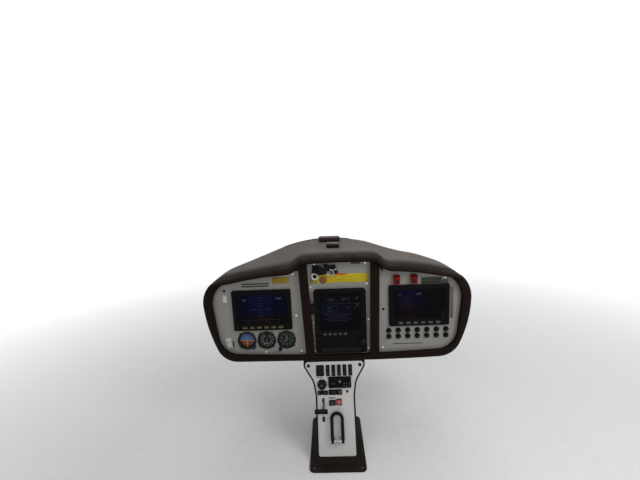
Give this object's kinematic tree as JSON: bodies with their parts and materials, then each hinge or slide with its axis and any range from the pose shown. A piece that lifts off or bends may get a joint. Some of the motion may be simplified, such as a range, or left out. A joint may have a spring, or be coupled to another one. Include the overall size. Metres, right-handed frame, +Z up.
{
  "type": "light sport aircraft instrument panel with centre console",
  "caption": "Mushroom-shaped instrument panel of a two-seat light aircraft on its centre console, with displays, round dials, guarded switches and two hand levers.",
  "frame": {"origin": "centre of the console foot's bolt pattern, on its bottom face", "axes": "+X to the pilot's right, +Y forward, +Z up"},
  "size_m": [0.7801, 0.397, 0.6131],
  "materials": {
    "glareshield_shell": "matte, fine grained",
    "dark_moulding": "matte, grained",
    "surround_pad": "soft, padded",
    "grey_plate": "fine flecked paint",
    "pale_plate": "fine flecked paint",
    "bezel_black": "matte",
    "screen_glass": "gloss",
    "key_rubber": "satin",
    "dial_case": "crackle black",
    "dial_face": "matte",
    "breaker_black": "matte",
    "bracket_steel": "zinc plated",
    "bright_metal": "bright",
    "guard_red": "satin",
    "dock_grey": "matte",
    "puck_black": "satin",
    "window_dark": "gloss",
    "switch_black": "satin",
    "lever_black": "satin"
  },
  "bodies": {
    "root": {"glareshield": "glareshield_shell", "head_shell": "dark_moulding", "surround": "surround_pad", "panel_frame": "dark_moulding", "left_plate": "grey_plate", "right_plate": "grey_plate", "centre_plate": "grey_plate", "console_plate": "pale_plate", "left_display_case": "bezel_black", "right_display_case": "bezel_black", "centre_display_case": "bezel_black", "left_display_screen": "screen_glass", "right_display_screen": "screen_glass", "centre_display_screen": "screen_glass", "left_display_keys": "key_rubber", "right_display_keys": "key_rubber", "centre_display_keys": "key_rubber", "centre_display_knob": "bezel_black", "attitude_case": "dial_case", "airspeed_case": "dial_case", "altimeter_case": "dial_case", "attitude_face": "dial_face", "airspeed_face": "dial_face", "altimeter_face": "dial_face", "breakers": "breaker_black", "switch_guard_bases": "bracket_steel", "guarded_toggles": "bright_metal", "pedestal_shell": "dark_moulding", "rocker_switches": "switch_black", "flap_selector": "switch_black", "radio_unit": "bezel_black", "centre_dock": "dock_grey", "altimeter_knob": "switch_black", "panel_switch": "switch_black", "key_lock": "bright_metal", "key_tags": "bright_metal", "antenna_pucks": "puck_black", "radio_knobs": "bright_metal", "console_windows": "window_dark", "console_buttons": "switch_black", "lever_bracket": "bracket_steel", "brake_lever_lugs": "bracket_steel"},
    "guard_left": {"guard_left": "guard_red"},
    "guard_right": {"guard_right": "guard_red"},
    "throttle": {"throttle_lever": "lever_black"},
    "brake": {"brake_lever": "lever_black"}
  },
  "joints": [
    {"name": "guard_left_hinge", "type": "hinge", "parent": "root", "child": "guard_left", "pos_m": [0.184, 0.0162, 0.52], "axis": [-1, 0, 0], "range_deg": [0, 90]},
    {"name": "guard_right_hinge", "type": "hinge", "parent": "root", "child": "guard_right", "pos_m": [0.229, 0.0162, 0.52], "axis": [-1, 0, 0], "range_deg": [0, 90]},
    {"name": "throttle_pivot", "type": "hinge", "parent": "root", "child": "throttle", "pos_m": [-0.036, 0.0305, 0.12078], "axis": [-1, 0, 0], "range_deg": [-22, 22]},
    {"name": "brake_pivot", "type": "hinge", "parent": "root", "child": "brake", "pos_m": [0.002, -0.07529, 0.06989], "axis": [1, 0, 0], "range_deg": [0, 50]}
  ]
}
